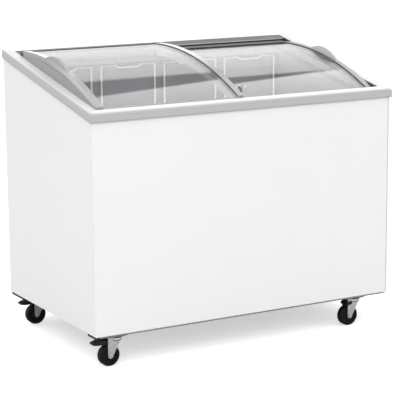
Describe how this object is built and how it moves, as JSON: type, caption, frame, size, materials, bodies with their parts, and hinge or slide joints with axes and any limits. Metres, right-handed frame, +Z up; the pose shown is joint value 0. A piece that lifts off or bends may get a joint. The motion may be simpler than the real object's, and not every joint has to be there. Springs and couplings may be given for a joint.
{
  "type": "glass lid chest freezer",
  "caption": "Chest freezer on casters with a sloping top, curved sliding glass lids that pass over each other, removable wire baskets and a machine compartment at one end.",
  "frame": {"origin": "on the floor under the middle of the cabinet", "axes": "+X to the right as seen from the front, +Y to the back, +Z up"},
  "size_m": [1.02, 0.623, 0.8596],
  "materials": {
    "white_enamel": "smooth baked enamel",
    "galvanised": "galvanised, matt",
    "foam": "rigid foam",
    "liner_grey": "embossed sheet",
    "frame_white": "moulded, satin",
    "trim_grey": "satin",
    "track_dark": "extruded, satin",
    "cheek_grey": "satin",
    "gutter_grey": "satin",
    "lid_glass": "curved tempered glass",
    "lid_profile": "extruded, satin",
    "lid_runner": "extruded, low friction",
    "handle_grey": "moulded",
    "lock_metal": "nickel plated",
    "lock_dark": "dark plug",
    "basket_wire": "white coated wire",
    "rail_white": "white coated",
    "copper": "drawn copper tube",
    "compressor_black": "black enamel",
    "fins": "pressed fins",
    "black_plastic": "moulded",
    "black_rubber": "moulded"
  },
  "bodies": {
    "cabinet": {"base_pan": "galvanised", "basket_rails": "rail_white", "breaker_collar": "liner_grey", "caster_bolts": "galvanised", "caster_plates": "galvanised", "compressor": "compressor_black", "compressor_feet": "black_rubber", "condenser": "fins", "cord_gland": "black_rubber", "evaporator_coil": "copper", "filter_drier": "copper", "front_caster_rail": "galvanised", "front_panel": "white_enamel", "front_track": "frame_white", "inner_liner": "liner_grey", "insulation": "foam", "left_cheek": "cheek_grey", "left_gutter": "gutter_grey", "left_panel": "white_enamel", "rail_end_caps": "black_plastic", "rear_caster_rail": "galvanised", "rear_grille": "black_plastic", "rear_panel": "white_enamel", "rear_track": "track_dark", "refrigerant_pipes": "copper", "right_gutter": "gutter_grey", "right_panel": "white_enamel", "right_side_wall": "track_dark", "thermostat_housing": "black_plastic", "top_frame": "frame_white", "trim_band": "trim_grey"},
    "left_lid": {"left_lid_glass": "lid_glass", "left_lid_outer_profile": "lid_profile", "left_lid_inner_profile": "lid_profile", "left_lid_rear_runner": "lid_runner", "left_lid_front_runner": "lid_runner", "left_lid_handle": "handle_grey", "lock_body": "lock_metal"},
    "right_lid": {"right_lid_glass": "lid_glass", "right_lid_outer_profile": "lid_profile", "right_lid_inner_profile": "lid_profile", "right_lid_rear_runner": "lid_runner", "right_lid_front_runner": "lid_runner", "right_lid_handle": "handle_grey"},
    "lock_core": {"lock_core": "lock_dark"},
    "thermostat_knob": {"thermostat_knob": "black_plastic"},
    "basket_1": {"basket_1": "basket_wire"},
    "basket_2": {"basket_2": "basket_wire"},
    "basket_3": {"basket_3": "basket_wire"},
    "basket_4": {"basket_4": "basket_wire"},
    "front_left_swivel": {"front_left_fork": "galvanised"},
    "front_left_wheel": {"front_left_wheel": "black_rubber"},
    "front_left_brake": {"front_left_brake_lever": "black_plastic"},
    "front_right_swivel": {"front_right_fork": "galvanised"},
    "front_right_wheel": {"front_right_wheel": "black_rubber"},
    "rear_left_swivel": {"rear_left_fork": "galvanised"},
    "rear_left_wheel": {"rear_left_wheel": "black_rubber"},
    "rear_left_brake": {"rear_left_brake_lever": "black_plastic"},
    "rear_right_swivel": {"rear_right_fork": "galvanised"},
    "rear_right_wheel": {"rear_right_wheel": "black_rubber"}
  },
  "joints": [
    {"name": "left_lid_slide", "type": "slide", "parent": "cabinet", "child": "left_lid", "axis": [1, 0, 0], "range_m": [0, 0.44]},
    {"name": "right_lid_slide", "type": "slide", "parent": "cabinet", "child": "right_lid", "axis": [1, 0, 0], "range_m": [-0.44, 0]},
    {"name": "lock_turn", "type": "hinge", "parent": "left_lid", "child": "lock_core", "pos_m": [0.021, -0.23397, 0.7601], "axis": [0, -0.1985, 0.9801], "range_deg": [0, 90]},
    {"name": "thermostat_turn", "type": "hinge", "parent": "cabinet", "child": "thermostat_knob", "pos_m": [0.464, 0.3005, 0.2776], "axis": [0, 1, 0], "range_deg": [0, 270]},
    {"name": "basket_1_slide", "type": "slide", "parent": "cabinet", "child": "basket_1", "axis": [0, -1, 0], "range_m": [0, 0.04]},
    {"name": "basket_2_slide", "type": "slide", "parent": "cabinet", "child": "basket_2", "axis": [0, -1, 0], "range_m": [0, 0.04]},
    {"name": "basket_3_slide", "type": "slide", "parent": "cabinet", "child": "basket_3", "axis": [0, -1, 0], "range_m": [0, 0.04]},
    {"name": "basket_4_slide", "type": "slide", "parent": "cabinet", "child": "basket_4", "axis": [0, -1, 0], "range_m": [0, 0.04]},
    {"name": "front_left_swivel", "type": "hinge", "parent": "cabinet", "child": "front_left_swivel", "pos_m": [-0.434, -0.2825, 0.0845], "axis": [0, 0, 1], "continuous": true},
    {"name": "front_left_roll", "type": "hinge", "parent": "front_left_swivel", "child": "front_left_wheel", "pos_m": [-0.456, -0.2825, 0.0315], "axis": [0, 1, 0], "continuous": true},
    {"name": "front_left_brake_tip", "type": "hinge", "parent": "front_left_swivel", "child": "front_left_brake", "pos_m": [-0.452, -0.2825, 0.072], "axis": [0, -1, 0], "range_deg": [0, 12]},
    {"name": "front_right_swivel", "type": "hinge", "parent": "cabinet", "child": "front_right_swivel", "pos_m": [0.394, -0.2825, 0.0845], "axis": [0, 0, 1], "continuous": true},
    {"name": "front_right_roll", "type": "hinge", "parent": "front_right_swivel", "child": "front_right_wheel", "pos_m": [0.372, -0.2825, 0.0315], "axis": [0, 1, 0], "continuous": true},
    {"name": "rear_left_swivel", "type": "hinge", "parent": "cabinet", "child": "rear_left_swivel", "pos_m": [-0.434, 0.2345, 0.0845], "axis": [0, 0, 1], "continuous": true},
    {"name": "rear_left_roll", "type": "hinge", "parent": "rear_left_swivel", "child": "rear_left_wheel", "pos_m": [-0.456, 0.2345, 0.0315], "axis": [0, 1, 0], "continuous": true},
    {"name": "rear_left_brake_tip", "type": "hinge", "parent": "rear_left_swivel", "child": "rear_left_brake", "pos_m": [-0.452, 0.2345, 0.072], "axis": [0, -1, 0], "range_deg": [0, 12]},
    {"name": "rear_right_swivel", "type": "hinge", "parent": "cabinet", "child": "rear_right_swivel", "pos_m": [0.394, 0.2345, 0.0845], "axis": [0, 0, 1], "continuous": true},
    {"name": "rear_right_roll", "type": "hinge", "parent": "rear_right_swivel", "child": "rear_right_wheel", "pos_m": [0.372, 0.2345, 0.0315], "axis": [0, 1, 0], "continuous": true}
  ]
}
